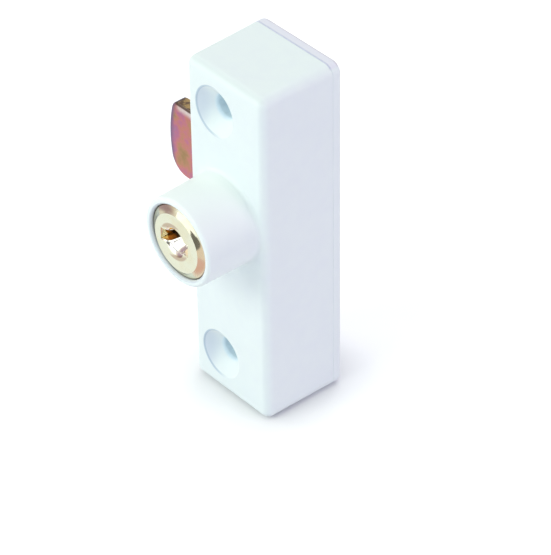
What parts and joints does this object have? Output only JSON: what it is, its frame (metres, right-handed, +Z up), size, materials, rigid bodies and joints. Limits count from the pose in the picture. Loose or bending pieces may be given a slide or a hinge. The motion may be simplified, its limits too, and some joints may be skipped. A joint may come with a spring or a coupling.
{
  "type": "window lock",
  "caption": "Surface-mounted window lock: a key-turned plug in a round boss swings a flat steel bolt out of the side of a slim white case with countersunk fixing holes.",
  "frame": {"origin": "centre of the fixing face, which is the back plate's outer face", "axes": "+Z up along the case, +Y out of the fixing face into the window frame, +X to the right seen from the front; the bolt leaves towards -X"},
  "size_m": [0.0348, 0.0281, 0.068],
  "materials": {
    "white_coat": "white powder coat on die-cast zinc",
    "white_coat_plate": "white powder coat on steel sheet",
    "plug_brass": "turned and polished",
    "wafer_brass": "stamped",
    "passivated_steel": "iridescent yellow passivated zinc plate",
    "zinc_steel": "bright zinc plate",
    "spring_steel": "spring steel"
  },
  "bodies": {
    "case": {"lock_case": "white_coat", "back_plate": "white_coat_plate", "cover_screw_1": "zinc_steel", "cover_screw_2": "zinc_steel"},
    "plug_and_bolt": {"key_plug": "plug_brass", "stop_washer": "zinc_steel", "swing_bolt": "passivated_steel", "clamp_washer": "zinc_steel", "spring_washer": "spring_steel", "bolt_screw": "zinc_steel", "wafer_spring_1": "spring_steel", "wafer_spring_2": "spring_steel", "wafer_spring_3": "spring_steel", "wafer_spring_4": "spring_steel", "wafer_spring_5": "spring_steel"},
    "wafer_body_1": {"wafer_1": "wafer_brass"},
    "wafer_body_2": {"wafer_2": "wafer_brass"},
    "wafer_body_3": {"wafer_3": "wafer_brass"},
    "wafer_body_4": {"wafer_4": "wafer_brass"},
    "wafer_body_5": {"wafer_5": "wafer_brass"}
  },
  "joints": [
    {"name": "plug_turn", "type": "hinge", "parent": "case", "child": "plug_and_bolt", "pos_m": [0, -0.01, 0.00575], "axis": [0, -1, 0], "range_deg": [0, 90]},
    {"name": "wafer_slide_1", "type": "slide", "parent": "plug_and_bolt", "child": "wafer_body_1", "axis": [1, 0, 0], "range_m": [0, 0.0009], "stiffness_N_per_m": 150, "springref_m": 0.002, "deforming": ["wafer_spring_1"]},
    {"name": "wafer_slide_2", "type": "slide", "parent": "plug_and_bolt", "child": "wafer_body_2", "axis": [1, 0, 0], "range_m": [0, 0.0009], "stiffness_N_per_m": 150, "springref_m": 0.002, "deforming": ["wafer_spring_2"]},
    {"name": "wafer_slide_3", "type": "slide", "parent": "plug_and_bolt", "child": "wafer_body_3", "axis": [1, 0, 0], "range_m": [0, 0.0009], "stiffness_N_per_m": 150, "springref_m": 0.002, "deforming": ["wafer_spring_3"]},
    {"name": "wafer_slide_4", "type": "slide", "parent": "plug_and_bolt", "child": "wafer_body_4", "axis": [1, 0, 0], "range_m": [0, 0.0009], "stiffness_N_per_m": 150, "springref_m": 0.002, "deforming": ["wafer_spring_4"]},
    {"name": "wafer_slide_5", "type": "slide", "parent": "plug_and_bolt", "child": "wafer_body_5", "axis": [1, 0, 0], "range_m": [0, 0.0009], "stiffness_N_per_m": 150, "springref_m": 0.002, "deforming": ["wafer_spring_5"]}
  ]
}
